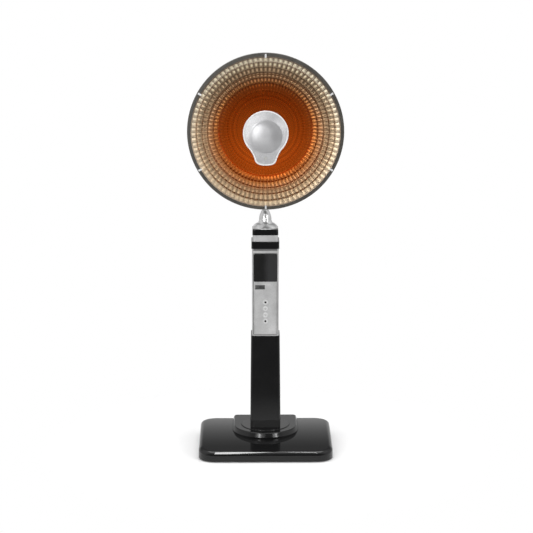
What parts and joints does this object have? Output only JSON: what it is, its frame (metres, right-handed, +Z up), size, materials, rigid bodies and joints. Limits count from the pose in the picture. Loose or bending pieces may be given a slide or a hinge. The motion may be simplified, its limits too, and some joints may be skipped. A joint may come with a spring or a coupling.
{
  "type": "halogen heater",
  "caption": "Dish heater on a pedestal: polished stepped reflector behind a radial wire guard, tilting head, swinging column with push keys and dark window, weighted base.",
  "frame": {"origin": "middle of the base's outline, on the floor", "axes": "+Z up, the dish faces -Y, +X to the right of someone who looks at the front"},
  "size_m": [0.3979, 0.29, 1.058],
  "materials": {
    "black_gloss": "polished",
    "black_plastic": "moulded",
    "silver_paint": "metallic paint",
    "key_plastic": "satin",
    "chrome": "polished",
    "guard_plating": "plated, warm toned",
    "steel": "zinc plated",
    "black_metal": "satin enamel",
    "copper_mirror": "polished, copper coloured",
    "badge_silver": "metallic paint",
    "smoked_window": "polished",
    "circuit_board": "solder mask",
    "white_ceramic": "glazed",
    "lamp_glass": "clear",
    "rubber": "matte",
    "cast_iron": "raw",
    "bearing_plastic": "moulded"
  },
  "bodies": {
    "base": {"base_cover": "black_gloss", "base_floor": "black_plastic", "base_feet": "rubber", "base_screws": "steel", "ballast_plate": "cast_iron", "tip_switch": "black_plastic", "cord_gland": "rubber", "pedestal_plate": "black_gloss", "swivel_bush": "bearing_plastic", "swing_motor": "steel"},
    "tip_plunger_body": {"tip_plunger": "black_plastic"},
    "column": {"swivel_disc": "black_gloss", "swivel_shaft": "steel", "shaft_retainer": "steel", "drive_shaft": "steel", "column_foot": "black_gloss", "column_front": "black_gloss", "column_rear": "black_gloss", "column_screws": "steel", "mast_tube": "steel", "control_housing": "silver_paint", "control_panel": "silver_paint", "button_rings": "chrome", "control_board": "circuit_board", "tact_switches": "black_plastic", "display_window": "smoked_window", "display_board": "circuit_board", "trim_ring": "chrome", "collar_ring": "black_gloss", "silver_band": "silver_paint", "column_cap": "black_gloss", "neck_bell": "chrome", "neck_screw": "steel", "neck_socket": "steel", "neck_tube": "chrome", "tilt_fork": "black_metal", "tilt_bolt": "steel", "tilt_nut": "steel"},
    "power_key": {"button_power": "key_plastic"},
    "heat_key": {"button_heat": "key_plastic"},
    "swing_key": {"button_swing": "key_plastic"},
    "timer_key": {"button_timer": "key_plastic"},
    "head": {"tilt_lug": "black_metal", "rear_housing": "black_metal", "housing_screws": "steel", "back_shell": "black_metal", "reflector": "copper_mirror", "rim_ring": "black_metal", "rim_clips": "chrome", "guard_wires": "guard_plating", "guard_rings": "guard_plating", "guard_hub": "black_plastic", "badge_plate": "badge_silver", "badge_dome": "badge_silver", "badge_screw": "steel", "lamp_holder": "white_ceramic", "lamp_tube": "lamp_glass", "lamp_filament": "steel", "terminal_block": "black_plastic", "thermal_cutout": "steel"}
  },
  "joints": [
    {"name": "swing", "type": "hinge", "parent": "base", "child": "column", "pos_m": [0, 0.027, 0.055], "axis": [0, 0, 1], "range_deg": [-40, 40]},
    {"name": "tilt", "type": "hinge", "parent": "column", "child": "head", "pos_m": [0, 0.027, 0.784], "axis": [-1, 0, 0], "range_deg": [-15, 25]},
    {"name": "power_press", "type": "slide", "parent": "column", "child": "power_key", "axis": [0, 1, 0], "range_m": [0, 0.0012], "stiffness_N_per_m": 900, "springref_m": -0.0004},
    {"name": "heat_press", "type": "slide", "parent": "column", "child": "heat_key", "axis": [0, 1, 0], "range_m": [0, 0.0012], "stiffness_N_per_m": 900, "springref_m": -0.0004},
    {"name": "swing_press", "type": "slide", "parent": "column", "child": "swing_key", "axis": [0, 1, 0], "range_m": [0, 0.0012], "stiffness_N_per_m": 900, "springref_m": -0.0004},
    {"name": "timer_press", "type": "slide", "parent": "column", "child": "timer_key", "axis": [0, 1, 0], "range_m": [0, 0.0012], "stiffness_N_per_m": 900, "springref_m": -0.0004},
    {"name": "tip_drop", "type": "slide", "parent": "base", "child": "tip_plunger_body", "axis": [0, 0, 1], "range_m": [-0.004, 0], "stiffness_N_per_m": 40, "springref_m": -0.006}
  ]
}
